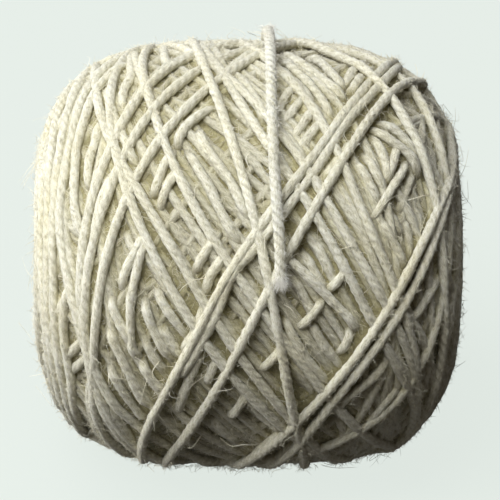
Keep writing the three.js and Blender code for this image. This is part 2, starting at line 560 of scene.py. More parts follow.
# each row: degrees round from the face, mm across, mm from the axis
looseRoute = [
    (140, 3.2, 45.35), (130, 3.4, 45.6), (120, 3.6, 46.0), (110, 3.9, 46.4), (99, 4.1, 46.7),
    (88, 4.4, 46.9), (77, 4.6, 46.75), (66, 4.8, 46.85), (55, 4.9, 46.4), (44, 5.0, 46.45),
    (33, 5.2, 46.9), (23, 5.5, 46.75), (13, 6.0, 46.85), (3, 6.6, 46.75), (-7, 6.8, 46.9),
]


loosePath = routeLine(looseRoute, looseEnd["step"])


def looseStrand():
    # three lobes turn round the path as it goes; the radius is less between them, by
    # 1 - lobe * lobeGain * (1 - |cos| to the power of lobeShape), and goes down to the
    # tip's part over the last stretch, by the root of the way that is left
    angles = roundAngles(looseEnd["pointsRound"])
    along = np.arange(len(loosePath)) * looseEnd["step"]
    twist = -along * 2 * math.pi / looseEnd["twistLength"]
    crest = np.abs(np.cos(angles * looseEnd["plies"] / 2)) ** looseEnd["lobeShape"]
    lobes = 1 - looseEnd["lobe"] * (1 - crest) * looseEnd["lobeGain"]
    left = np.clip((along[-1] - along) / looseEnd["tipLength"], 0, 1) ** 0.5
    narrowing = left * (1 - looseEnd["tip"]) + looseEnd["tip"]
    section = looseEnd["thickness"] / 2 * lobes[None, :] * narrowing[:, None]
    outward = unit(loosePath * (0, 1, 1))
    points, quads, caps, uv = joined([tube(loosePath, outward, section, angles, twist, 0.0)])
    piece = newPiece("loose_end_strand", toFrame(points), quads, caps, looseFinish,
                     "loose_end")
    setUv(piece, uv)
    setNumber(piece, "paintedShadeDepth", np.zeros(len(points)))
    setNumber(piece, "paintedNookShade", np.zeros(len(points)))
    return piece


loosePiece = looseStrand()
looseInFrame = toFrame(loosePath) * mm
tuple(looseInFrame[0])
[tuple(p) for p in looseInFrame[::2]]
report("loose end made")


# Winding: each turn is laid in its place over what is already there. The height of the
# ball is kept for every direction from the middle, on the eight faces of an octahedron
# folded out into a square.
winding = {
    "cells": 1100,                # along each side of the folded square
    "coreInset": (5.0, 12.0),     # mm under the outside where the laying starts
    "step": 0.36,                 # mm along a turn
    "pressed": 0.72,              # how thick a strand stays where another crosses it
    "give": 0.7,                  # mm that a turn may ride up over its own layer's round
    "pitch": 2.45,                # mm between neighbours that are wound side by side
    "bridged": (40, 24, 14, 8, 4, 2),  # steps to each side that a tight turn bridges dips over
    "bridgedTwice": 2,            # times for each
    "slack": 0.8,                 # of the height that the round itself has over such a bridge
    "smoothed": 3,                # times, at the end
    "felt": (0.4, 7),             # part of the width to each side that rests, places across
    "raised": (0.5, 17),          # part to each side that raises the ground, places across
    "finer": 3,                   # how many places to a step raise the ground
    "endSteps": 60,               # over which an open turn is held as at its end
    "wanderFades": 0.8,           # power by which quicker waves of a turn's wander are smaller
    "seed": 41,
}
chance = np.random.default_rng(winding["seed"])


def cellOf(points):
    # the square's cell for each direction from the middle
    spread = points[..., :2] / np.abs(points).sum(axis=-1, keepdims=True)
    folded = (1 - np.abs(spread[..., ::-1])) * np.where(spread >= 0, 1, -1)
    spread = np.where(points[..., 2:] < 0, folded, spread)
    cell = np.clip(((spread + 1) / 2 * winding["cells"]).astype(np.int32), 0, winding["cells"] - 1)
    return cell[..., 0] * winding["cells"] + cell[..., 1]


def cellDirections():
    # the direction from the middle of each cell of the square
    line = (np.arange(winding["cells"]) + 0.5) / winding["cells"] * 2 - 1
    a, b = np.meshgrid(line, line, indexing="ij")
    c = 1 - np.abs(a) - np.abs(b)
    under = c < 0
    foldedA = (1 - np.abs(b)) * np.where(a >= 0, 1, -1)
    foldedB = (1 - np.abs(a)) * np.where(b >= 0, 1, -1)
    a, b = np.where(under, foldedA, a), np.where(under, foldedB, b)
    return unit(np.stack([a, b, c], axis=-1).reshape(-1, 3))


def planeTurn(shift, lean, bow, inset, count=1440, farthest=90.0):
    # a flat loop of yarn: across = shift + lean * up + bow * out, where it meets the round,
    # nearer to the axis than the farthest
    angle = np.linspace(0, 2 * math.pi, count, endpoint=False)
    slope = lean * np.sin(angle) + bow * np.cos(angle)

    def place(away):
        # on the plane, so far from the axis
        return np.stack([shift + away * slope, away * np.sin(angle), away * np.cos(angle)], axis=-1)

    near, far = np.zeros_like(angle), np.full_like(angle, farthest)
    return place(halve(lambda away: hullValue(place(away), inset) < 1, near, far))


def strayed(loop, inset, amount):
    # the loop wanders a little to its sides: a sum of sines of 2 to 9 waves round it, with
    # random sizes and phases, and smaller where they are quicker
    part = np.arange(len(loop)) / len(loop) * 2 * math.pi
    waves = np.arange(2, 10)
    size = chance.normal(0, 1, len(waves)) / waves ** winding["wanderFades"]
    begin = chance.uniform(0, 2 * math.pi, len(waves))
    wander = (size[:, None] * np.sin(waves[:, None] * part + begin[:, None])).sum(axis=0) * amount
    tangent = unit(np.roll(loop, -1, axis=0) - np.roll(loop, 1, axis=0))
    side = unit(np.cross(tangent, unit(loop)))
    return ontoHull(loop + side * wander[:, None], inset)


def drawnTight(needed, step):
    # dips are bridged: half way between the neighbours at each stride, less a little slack
    held = needed.copy()
    for stride in winding["bridged"]:
        slack = (stride * step) ** 2 / (2 * ballForm["radius"]) * winding["slack"]
        for _ in range(winding["bridgedTwice"]):
            chord = (np.roll(held, stride) + np.roll(held, -stride)) / 2 - slack
            held = np.maximum(held, chord)
    for _ in range(winding["smoothed"]):
        held = (np.roll(held, 1) + held * 2 + np.roll(held, -1)) / 4
    return held


def sidesOf(path, closed):
    # the direction to the side of a path, square to its run and to the ray from the middle
    run = np.roll(path, -1, axis=0) - np.roll(path, 1, axis=0) if closed else np.gradient(path, axis=0)
    return unit(np.cross(run, path))


def strandTop(share, places):
    # places across a strand, in mm from its middle, and how high its top lies over its
    # middle at each: half its pressed height times the root of 1 - (place / radius) ** 2
    radius = yarnLook["thickness"] / 2
    offsets = np.linspace(-share, share, places) * yarnLook["thickness"]
    return offsets, radius * winding["pressed"] * np.sqrt(np.maximum(1 - (offsets / radius) ** 2, 0))


def eachAxis(wanted, known, values):
    # rows of three numbers between the known ones, in a straight line from one to the next
    return np.stack([np.interp(wanted, known, values[:, k]) for k in range(3)], axis=1)


def layTurn(ground, path, give, closed=True):
    # the turn goes as low as what is under it lets it, then raises the ground by itself;
    # a part of a turn goes down under its neighbours at each end. Where it would ride up
    # over its round it is pressed in: give * tanh(height / give).
    step = winding["step"]
    path = evenSteps(path, step, closed)
    reach = np.linalg.norm(path, axis=1)
    side = sidesOf(path, closed)
    offsets, rise = strandTop(*winding["felt"])
    under = ground[cellOf(path[:, None] + side[:, None] * offsets[:, None])]
    needed = (under + rise).max(axis=1) - reach
    if closed:
        needed = drawnTight(needed, step)
    else:
        spare = winding["endSteps"]
        needed = drawnTight(np.pad(needed, spare, mode="edge"), step)[spare:-spare]
    needed = np.where(needed > 0, give * np.tanh(needed / give), needed)
    dip = np.zeros(len(path)) if closed else endDip(np.arange(len(path)) * step)
    lifted = path / reach[:, None] * (reach + needed - dip)[:, None]
    spot = np.arange(len(path))
    fine = np.linspace(0, len(path) - 1, len(path) * winding["finer"])
    offsets, rise = strandTop(*winding["raised"])
    spread = (eachAxis(fine, spot, lifted)[:, None]
              + eachAxis(fine, spot, side)[:, None] * offsets[:, None])
    top = np.linalg.norm(spread, axis=-1) + rise
    np.maximum.at(ground, cellOf(spread).ravel(), top.ravel())
    return lifted


# The machine's own winding: a few neighbours are wound side by side, then the tilted
# plane jumps on round the axis to wherever the ball is thinnest.
# Each row: tilt in degrees, groups, turns in a group, mm under the outside at the ends and
# round the axis, and mm that a turn wanders.
layers = [
    (87, 3, 3, (5.2, 11.0), 1.2),
    (82, 4, 3, (4.9, 10.5), 1.0),
    (76, 5, 4, (4.5, 10.0), 0.8),
    (66, 5, 4, (3.6, 9.0), 0.7),
    (57, 5, 5, (3.2, 8.0), 0.5),
    (42, 5, 5, (4.0, 6.6), 0.5),
    (50, 5, 5, (3.2, 5.6), 0.4),
]
layerSpread = {"shift": 1.0, "step": 0.1}  # mm, part of a pitch
thinnest = {"tried": 30, "places": 240, "overAtMost": 1.0}  # directions, places on a turn, mm


def thinnestPlace(ground, steep, inset):
    # of many directions of tilt, the one whose turn crosses the lowest ground
    directions = chance.uniform(0, 2 * math.pi) + roundAngles(thinnest["tried"])
    heights = []
    for direction in directions:
        lean, bow = steep * math.sin(direction), steep * math.cos(direction)
        loop = planeTurn(0.0, lean, bow, inset, thinnest["places"])
        over = ground[cellOf(loop)] - np.linalg.norm(loop, axis=1)
        heights.append(np.minimum(over, thinnest["overAtMost"]).mean())
    return directions[int(np.argmin(heights))]


def stepBetween(tiltAngle):
    # the direction's change that moves a turn at this tilt by one pitch, in radians
    return winding["pitch"] / (ballForm["radius"] * math.sin(math.radians(tiltAngle)))


def layerTurns(ground, layer):
    # the planes of one layer: a tilt whose direction steps by one pitch inside a group
    tiltAngle, groups, perGroup, inset, stray = layer
    steep = math.tan(math.radians(tiltAngle))
    stepRound = stepBetween(tiltAngle)
    for _ in range(groups):
        begin = thinnestPlace(ground, steep, inset) - stepRound * (perGroup - 1) / 2
        shift = chance.normal(0, layerSpread["shift"])
        for k in range(perGroup):
            direction = begin + stepRound * (k + chance.normal(0, layerSpread["step"]))
            yield shift, steep * math.sin(direction), steep * math.cos(direction), inset, stray


# Over that come full sweeps, where the tilted plane steps on by one pitch over half a
# round of directions; blocks of neighbours are wound in a mixed order, and some turns
# are left out, so that the sweep under it shows there. Each row: tilt, first and last
# direction in degrees, mm under the outside as above, mm of wander, and the part left out.
sweeps = [
    (72, 0, 180, (2.6, 6.0), 0.4, 0.3),
    (64, -180, 0, (2.2, 5.0), 0.4, 0.2),
    (55, 0, 180, (2.2, 4.6), 0.3, 0.3),
    (49, -180, 0, (2.2, 4.0), 0.3, 0.25),
    (41, 0, 180, (3.0, 4.3), 0.3, 0.2),
    (37, -180, 0, (3.0, 3.3), 0.25, 0.12),
]
sweepBlock = 5                    # neighbours wound one after another
# how far the turns of a sweep differ: degrees, part of a pitch, mm in height, mm across
sweepSpread = {"tilt": 1.5, "step": 0.13, "height": 0.45, "shift": 0.25}


def sweepTurns(sweep):
    # the planes of one sweep, block after block
    tiltAngle, begin, end, inset, stray, leftOut = sweep
    stepRound = stepBetween(tiltAngle)
    count = int(math.radians(end - begin) / stepRound)
    blocks = chance.permutation(math.ceil(count / sweepBlock))
    for k in (blocks[:, None] * sweepBlock + np.arange(sweepBlock)).ravel():
        steep = math.tan(math.radians(tiltAngle + chance.normal(0, sweepSpread["tilt"])))
        direction = math.radians(begin) + stepRound * (k + chance.normal(0, sweepSpread["step"]))
        uneven = chance.normal(0, sweepSpread["height"])
        shift = chance.normal(0, sweepSpread["shift"])
        if k < count and chance.uniform() > leftOut:
            lean, bow = steep * math.sin(direction), steep * math.cos(direction)
            yield shift, lean, bow, (inset[0] + uneven, inset[1] + uneven), stray


# The turns that show on the face, in the order they were wound, each by the pixels of
# the 500 x 500 frame that it passes. A main or whole one goes all the way round the ball,
# and a main one lies nearest to the outside. A high, part or low one shows only between
# its ends, past which it goes down under its neighbours, and a low one lies deepest.
seenTurns = [
    ("whole", [(41, 190), (40, 250), (41, 330)]),
    ("whole", [(459, 205), (461, 250), (459, 310)]),
    ("whole", [(455, 255), (452, 290), (444, 340), (432, 385)]),
    ("whole", [(446, 262), (440, 300), (428, 345)]),
    ("low", [(163, 325), (175, 346), (182, 356)]),
    ("low", [(143, 333), (153, 353), (165, 371)]),
    ("low", [(220, 328), (228, 340), (237, 349)]),
    ("low", [(211, 416), (225, 430), (240, 440)]),
    ("low", [(233, 373), (243, 387), (254, 402)]),
    ("low", [(313, 240), (323, 259), (331, 276), (338, 290)]),
    ("low", [(304, 254), (316, 276), (326, 292)]),
    ("low", [(291, 274), (300, 289), (309, 307), (318, 322)]),
    ("low", [(308, 318), (323, 344), (337, 361), (345, 372)]),
    ("low", [(288, 357), (306, 380), (314, 394)]),
    ("low", [(403, 221), (407, 240), (406, 261)]),
    ("low", [(379, 223), (386, 237), (394, 252)]),
    ("low", [(404, 110), (416, 119), (420, 136), (420, 150)]),
    ("low", [(413, 208), (417, 222), (415, 240)]),
    ("low", [(421, 178), (426, 195), (427, 215), (421, 234)]),
    ("low", [(337, 414), (345, 432), (356, 450)]),
    ("low", [(350, 414), (360, 432), (369, 448)]),
    ("low", [(366, 402), (377, 420), (386, 438)]),
    ("low", [(379, 396), (390, 414), (399, 431)]),
    ("low", [(175, 172), (167, 190), (159, 209)]),
    ("low", [(126, 232), (134, 248), (143, 262)]),
    ("low", [(158, 324), (168, 340), (179, 355)]),
    ("low", [(241, 362), (252, 372), (265, 385), (275, 400), (287, 418)]),
    ("low", [(237, 383), (247, 396), (260, 412), (275, 424), (283, 432)]),
    ("low", [(391, 218), (398, 232)]),
    ("part", [(380, 220), (390, 238), (400, 258), (404, 268)]),
    ("part", [(110, 295), (117, 315), (127, 334), (133, 347)]),
    ("part", [(108, 325), (120, 353), (130, 373), (141, 395), (150, 408)]),
    ("part", [(108, 363), (120, 385), (133, 406), (145, 422)]),
    ("part", [(108, 400), (120, 421), (133, 440), (143, 455)]),
    ("part", [(143, 297), (150, 320), (162, 345), (170, 360)]),
    ("part", [(142, 363), (152, 378), (162, 390)]),
    ("part", [(155, 288), (165, 306), (178, 325), (188, 340)]),
    ("part", [(145, 234), (137, 250), (126, 272), (121, 288)]),
    ("part", [(147, 237), (143, 248), (137, 273), (132, 298), (131, 320), (133, 348), (137, 360)]),
    ("part", [(172, 152), (163, 170), (157, 186), (152, 197)]),
    ("part", [(177, 171), (168, 187), (160, 208)]),
    ("part", [(207, 300), (195, 330), (182, 352)]),
    ("part", [(203, 350), (193, 371), (185, 390), (178, 413)]),
    ("part", [(216, 361), (208, 380)]),
    ("part", [(227, 252), (220, 262), (210, 277), (205, 295)]),
    ("part", [(217, 235), (210, 246), (202, 258), (196, 270)]),
    ("part", [(344, 272), (334, 285)]),
    ("part", [(322, 302), (312, 314), (303, 325)]),
    ("part", [(349, 334), (343, 348)]),
    ("part", [(280, 350), (264, 367)]),
    ("part", [(246, 395), (232, 415)]),
    ("part", [(285, 429), (262, 446), (240, 463)]),
    ("part", [(298, 440), (282, 452), (266, 462)]),
    ("part", [(292, 88), (282, 104), (276, 116)]),
    ("part", [(304, 98), (294, 110), (285, 122)]),
    ("part", [(312, 111), (300, 129), (292, 139)]),
    ("part", [(321, 122), (309, 137), (300, 149)]),
    ("part", [(354, 69), (345, 85)]),
    ("part", [(361, 77), (352, 90)]),
    ("whole", [(167, 149), (179, 173), (191, 199), (201, 220), (214, 241), (229, 261)]),
    ("part", [(186, 149), (199, 170), (209, 187), (220, 210), (232, 233), (239, 243)]),
    ("part", [(197, 129), (207, 149), (220, 167), (230, 181), (243, 208), (249, 219)]),
    ("part", [(250, 89), (264, 121)]),
    ("part", [(282, 131), (294, 147), (305, 160)]),
    ("part", [(281, 54), (299, 64), (320, 79), (339, 94), (347, 101)]),
    ("part", [(281, 61), (296, 73), (313, 90), (327, 110), (333, 119)]),
    ("part", [(278, 68), (290, 80), (305, 95), (312, 110), (320, 128)]),
    ("part", [(310, 56), (326, 69), (336, 80), (346, 90)]),
    ("whole", [(330, 39), (356, 43), (374, 53), (388, 63)]),
    ("part", [(373, 137), (383, 159), (388, 181)]),
    ("part", [(367, 158), (376, 176), (384, 190)]),
    ("part", [(358, 165), (367, 181), (378, 202)]),
    ("part", [(397, 148), (391, 165), (386, 180)]),
    ("low", [(411, 173), (404, 194), (399, 213)]),
    ("part", [(408, 161), (396, 181), (384, 200), (372, 221)]),
    ("part", [(380, 123), (395, 132), (408, 145), (417, 158)]),
    ("high", [(374, 128), (391, 142), (405, 152), (416, 164), (421, 173)]),
    ("part", [(308, 172), (325, 193)]),
    ("whole", [(329, 203), (341, 230), (357, 254), (371, 279), (383, 300)]),
    ("high", [(288, 258), (304, 273), (320, 289), (334, 303), (346, 315), (360, 331)]),
    ("part", [(284, 318), (297, 344), (313, 367), (329, 384)]),
    ("part", [(135, 53), (140, 73), (149, 91)]),
    ("part", [(134, 56), (132, 75), (125, 92), (122, 112)]),
    ("part", [(163, 45), (167, 66)]),
    ("part", [(209, 47), (220, 62), (224, 70)]),
    ("part", [(220, 80), (240, 63), (262, 50)]),
    ("whole", [(197, 57), (180, 63), (164, 71), (153, 83), (141, 97), (130, 114), (124, 126), (98, 180),
               (87, 225), (82, 260)]),
    ("whole", [(200, 73), (181, 83), (166, 96), (153, 111), (143, 127), (133, 141), (126, 157),
               (112, 185), (96, 235), (86, 300)]),
    ("part", [(100, 121), (97, 141), (91, 159), (88, 188)]),
    ("part", [(109, 151), (101, 167), (96, 187), (91, 209), (86, 230), (84, 246)]),
    ("part", [(116, 169), (110, 181), (103, 201), (97, 227), (94, 250)]),
    ("part", [(71, 283), (66, 305), (65, 330), (67, 350), (73, 385), (83, 425)]),
    ("whole", [(98, 100), (104, 119), (111, 141), (120, 160), (131, 180), (143, 195), (162, 228),
               (175, 252), (191, 285), (209, 307)]),
    ("whole", [(135, 211), (143, 230), (151, 247), (170, 283), (193, 325), (212, 352), (223, 363)]),
    ("part", [(107, 87), (111, 104), (117, 123), (127, 144), (136, 167)]),
    ("whole", [(57, 98), (51, 119), (46, 144), (44, 173), (43, 216), (45, 290), (50, 350)]),
    ("whole", [(77, 73), (66, 91), (59, 116), (54, 144), (51, 173), (49, 209), (49, 250), (50, 311),
               (56, 370)]),
    ("whole", [(94, 63), (83, 77), (73, 101), (64, 130), (61, 159), (57, 187), (55, 216), (54, 250),
               (56, 311), (62, 370), (72, 410)]),
    ("high", [(130, 63), (110, 77), (100, 88), (93, 99), (87, 116), (82, 131), (77, 151), (75, 173),
              (75, 201), (78, 220), (84, 239)]),
    ("whole", [(130, 56), (110, 67), (97, 77), (87, 94), (79, 116), (71, 144), (67, 173), (63, 190),
               (61, 209), (61, 230), (64, 250), (70, 285), (80, 319), (89, 354)]),
    ("part", [(216, 106), (199, 117), (187, 127), (179, 140), (175, 149)]),
    ("whole", [(209, 91), (187, 107), (170, 127), (159, 143), (147, 161), (136, 184), (124, 206),
               (116, 226), (109, 247), (103, 282), (98, 307), (96, 340), (98, 420)]),
    ("part", [(352, 142), (340, 157), (331, 168), (321, 181)]),
    ("whole", [(280, 73), (296, 87), (309, 103), (323, 128), (350, 180), (359, 204), (369, 230),
               (383, 259), (394, 287)]),
    ("main", [(393, 62), (365, 89), (339, 118), (304, 172), (252, 240), (228, 268), (207, 320),
              (159, 403), (146, 435)]),
    ("high", [(399, 68), (371, 95), (345, 124), (310, 178), (257, 246), (233, 274), (212, 324),
              (180, 378)]),
    ("whole", [(228, 85), (240, 100), (266, 150), (287, 169), (311, 206), (329, 240), (343, 269),
               (360, 300), (374, 323)]),
    ("part", [(238, 77), (258, 105), (265, 120)]),
    ("main", [(300, 41), (327, 50), (350, 61), (367, 71), (379, 83), (387, 98), (404, 121), (419, 144),
              (427, 166), (433, 194)]),
    ("part", [(390, 356), (370, 378), (345, 398), (332, 413)]),
    ("part", [(390, 346), (403, 370), (413, 393)]),
    ("part", [(438, 275), (428, 293), (410, 322)]),
    ("part", [(401, 382), (385, 400), (367, 422)]),
    ("main", [(443, 210), (437, 228), (424, 262), (402, 305), (388, 335), (368, 355), (333, 398),
              (311, 430)]),
    ("main", [(441, 200), (427, 232), (408, 270), (397, 292), (381, 318), (345, 370), (310, 408)]),
    ("part", [(450, 212), (457, 228), (452, 245), (449, 258)]),
    ("main", [(416, 83), (387, 97), (368, 120), (349, 151), (314, 207), (291, 250), (268, 290),
              (230, 366), (188, 433), (166, 468)]),
    ("part", [(207, 53), (213, 62), (220, 73)]),
    ("main", [(193, 40), (212, 86), (228, 128), (247, 192), (262, 252), (277, 326), (291, 405),
              (304, 458)]),
]
seenRules = {
    "mainInset": 0.85,            # mm, from the outside to the middle of these turns
    "wholeInset": 1.3,
    "partInset": 1.7,
    "highInset": 1.1,
    "lowInset": 2.5,
    "give": 0.35,                 # mm that they may ride up over that
    "keptNear": 6.0,              # pixels: the shorter a row, the nearer its plane to the middle
    "bendWidth": 0.45,            # radians round the axis over which a turn bends to its row
    "bendSlack": 0.03,            # 0 would bend it through each point exactly
    "widest": 0.995,              # of the half width, where a bent turn may still lie
    "sunkEnds": 4.6,              # mm that a part goes on past its row
    "dipWithin": 3.4,             # mm inside its row where it starts to go down, at most
    "dipShare": 0.25,             # that length as a part of the row
    "dipLeast": 0.5,              # mm, that length at least
    "dip": 4.0,                   # mm
    "endShade": 1.6,              # how many times over that dip counts for the painted shade of depth, which darkens the ends
}


def endDip(along):
    # how many mm an open turn has gone down: the dip times 1 - n * n * (3 - 2 * n), where
    # n is the way from its nearer end as a part of the length over which it goes down
    within = (along[-1] - 2 * seenRules["sunkEnds"]) * seenRules["dipShare"]
    within = min(max(within, seenRules["dipLeast"]), seenRules["dipWithin"])
    nearEnd = np.clip(np.minimum(along, along[-1] - along) / (seenRules["sunkEnds"] + within), 0, 1)
    return (1 - nearEnd * nearEnd * (3 - 2 * nearEnd)) * seenRules["dip"]


def planeThrough(points, span):
    # the plane that passes a row's points best, by least squares, with a pull to shift 0
    left = np.column_stack([np.ones(len(points)), points[:, 1], points[:, 2]])
    left = np.vstack([left, [seenRules["keptNear"] / span, 0, 0]])
    right = np.append(points[:, 0], 0.0)
    return tuple(np.linalg.lstsq(left, right, rcond=None)[0])


def wholeTurn(pixels, inset):
    # a flat loop near the row's points, bent to pass them by a sum of bells, one for each
    # point, whose sizes are solved for; then each place is put on the round
    points = seenAt(pixels, inset)
    span = np.linalg.norm(np.array(pixels[0], float) - pixels[-1])
    shift, lean, bow = planeThrough(points, span)
    loop = planeTurn(shift, lean, bow, inset)
    loopAngle = np.arctan2(loop[:, 1], loop[:, 2])
    angle = np.arctan2(points[:, 1], points[:, 2])
    missed = points[:, 0] - np.interp(angle, np.sort(loopAngle), loop[np.argsort(loopAngle), 0])

    def nearness(first, second):
        # a bell of the distance between two angles: exp(-(apart / width) ** 2 / 2)
        apart = (first[:, None] - second[None, :] + math.pi) % (2 * math.pi) - math.pi
        return np.exp(-(apart / seenRules["bendWidth"]) ** 2 / 2)

    bells = nearness(angle, angle) + np.eye(len(angle)) * seenRules["bendSlack"]
    weights = np.linalg.solve(bells, missed)
    across = loop[:, 0] + nearness(loopAngle, angle) @ weights
    power = ballForm["squareness"]
    half, radius = hullSize(inset)
    across = np.clip(across, -half * seenRules["widest"], half * seenRules["widest"])
    away = radius * (1 - (np.abs(across) / half) ** power) ** (1 / power)
    return np.column_stack([across, away * np.sin(loopAngle), away * np.cos(loopAngle)])


def partTurn(pixels, inset):
    # a curve over the round through the row's points, run on straight past both ends
    points = seenAt(pixels, inset)
    before = points[0] + unit(points[0] - points[1]) * seenRules["sunkEnds"]
    after = points[-1] + unit(points[-1] - points[-2]) * seenRules["sunkEnds"]
    return ontoHull(smoothLine(np.vstack([before, points, after]), parts=16), inset)


ground = np.linalg.norm(ontoHull(cellDirections(), winding["coreInset"]), axis=1)
machineTurns = []


def layMachineTurns(planes):
    # each flat loop wanders a little, and is laid before the next one's plane is chosen
    for shift, lean, bow, inset, stray in planes:
        loop = strayed(planeTurn(shift, lean, bow, inset), inset, stray)
        machineTurns.append(layTurn(ground, loop, winding["give"]))


for layer in layers:
    layMachineTurns(layerTurns(ground, layer))
firstSweep = len(machineTurns)
for sweep in sweeps:
    layMachineTurns(sweepTurns(sweep))
lastSweep = len(machineTurns)
report("%d turns of the machine's winding laid, %d of them in sweeps"
       % (lastSweep, lastSweep - firstSweep))
faceTurns, faceClosed = [], []
for kind, pixels in seenTurns:
    closed = kind in ("main", "whole")
    line = (wholeTurn if closed else partTurn)(pixels, seenRules[kind + "Inset"])
    faceTurns.append(layTurn(ground, line, seenRules["give"], closed))
    faceClosed.append(closed)
report("%d turns of the face laid" % len(faceTurns))

nookRings = (1.3, 2.6)            # mm, the two rings for the painted shade between turns


def pressedToFloor(inFrame, radius):
    # heights under softBelow are squeezed in proportion, so the lowest end at the floor
    soft = ballForm["softBelow"]
    lowest = ballForm["centre"][2] - ballForm["radius"] + radius
    squeezed = soft - (soft - inFrame[:, 2]) * (soft - radius) / (soft - lowest)
    height = np.where(inFrame[:, 2] < soft, squeezed, inFrame[:, 2])
    height = np.maximum(height, radius * ballForm["overFloor"])
    return np.column_stack([inFrame[:, 0], inFrame[:, 1], height])


def toLocal(inFrame):
    # the frame's own x, y and z in mm, as across, up and out from the middle
    return (inFrame - ballMiddle) @ faceAxes.T


def depthUnder(inFrame):
    # how many mm each point lies under the outside, along its ray from the middle
    local = toLocal(inFrame)
    return np.linalg.norm(ontoHull(local, 0.0), axis=1) - np.linalg.norm(local, axis=1)


def groundAround(local, rings, places=8, slant=(0.31, 0.52, 0.79)):
    # the ground at places on each ring, of so many mm radius, round a point; the ring lies
    # square to the point's ray, and starts square to the slant as well
    outward = unit(local)
    side = unit(np.cross(outward, slant))
    other = np.cross(outward, side)
    spokes = [side * math.cos(angle) + other * math.sin(angle) for angle in roundAngles(places)]
    return np.stack([ground[cellOf(local + spoke * radius)] for radius in rings for spoke in spokes])


def nookUnder(inFrame):
    # how many mm each point lies under the mean of the ground on two small rings round it, which sets the
    # painted shade between turns
    local = toLocal(inFrame)
    return groundAround(local, nookRings).mean(axis=0) - np.linalg.norm(local, axis=1)


# Behind the top the loose end comes out from under a turn: its hidden start goes down into
# the ball, and a crossing strand holds it. Rows are as in the loose end's own route.
rootRoute = [(139, 3.15, 45.4), (145, 3.0, 44.9), (151, 2.8, 44.0), (157, 2.6, 42.7), (165, 2.2, 40.6)]
coverRoute = [(118, -24, 41.2), (127, -17, 43.6), (136, -9, 44.7), (143, -2.0, 45.7), (148, 4.0, 46.3),
              (153, 10, 45.6), (160, 17.5, 43.6), (168, 25, 40.6)]


# Strands: which parts of a turn can be seen, and the mesh for those parts. Each kind has its
# points round a strand, mm between rings, whether they turn with the ply, their radii as
# parts of the strand's own, and the random part of those.
strandKinds = {
    "top": {"sides": 9, "step": 0.42, "twisted": True, "lobe": (1.0, 0.9, 0.9), "rough": 0.035},
    "face": {"sides": 8, "step": 0.75, "twisted": False, "lobe": (0.93,), "rough": 0.045},
    "under": {"sides": 6, "step": 2.1, "twisted": False, "lobe": (0.97,), "rough": 0.05},
}
# how a turn that goes down under others thins out at its ends: mm, part, and a power
narrowEnds = {"over": 5.5, "tip": 0.35, "shape": 0.7}
# what shows: mm under the ground, mm that a part goes on at each end, and fewest steps
shown = {"depth": 1.5, "spare": 1.1, "fewest": 6}
slub = {"waves": (6.0, 13.0, 29.0), "sizes": (0.035, 0.05, 0.04)}  # mm long, parts of the radius
strandFloor = 0.02                # mm over the floor, where no strand goes lower
hairFloor = 0.05
patternStart = 60                 # mm, within which each strand's streaks start anywhere


def shownRuns(turn, closed):
    # the runs of a turn that lie near enough under the finished ground to be seen: places
    # where they do, and those within the spare of one; an open turn is kept whole
    if not closed:
        return [np.arange(len(turn))]
    side = sidesOf(turn, closed)
    offsets = np.array([-0.5, 0.0, 0.5]) * yarnLook["thickness"]
    over = ground[cellOf(turn[:, None] + side[:, None] * offsets[:, None])].min(axis=1)
    over = over - np.linalg.norm(turn, axis=1)
    near = over < shown["depth"]
    spare = int(shown["spare"] / winding["step"])
    wide = np.any([np.roll(near, shift) for shift in range(-spare, spare + 1)], axis=0)
    if wide.all():
        return [(int(np.argmax(over)) + np.arange(len(turn) + 1)) % len(turn)]
    if not wide.any():
        return []
    order = np.roll(np.arange(len(turn)), -int(np.argmin(wide)))
    changes = np.diff(np.concatenate([[0], wide[order].astype(int), [0]]))
    begins, finishes = np.where(changes == 1)[0], np.where(changes == -1)[0]
    return [order[a:b] for a, b in zip(begins, finishes) if b - a > shown["fewest"]]


def slubs(along):
    # the yarn's thickness as a part of its mean: 1 plus three sines of random phase
    begin = chance.uniform(0, 2 * math.pi, 3)
    waves = np.sin(along[:, None] * 2 * math.pi / np.array(slub["waves"]) + begin)
    return 1 + (waves * np.array(slub["sizes"])).sum(axis=1)


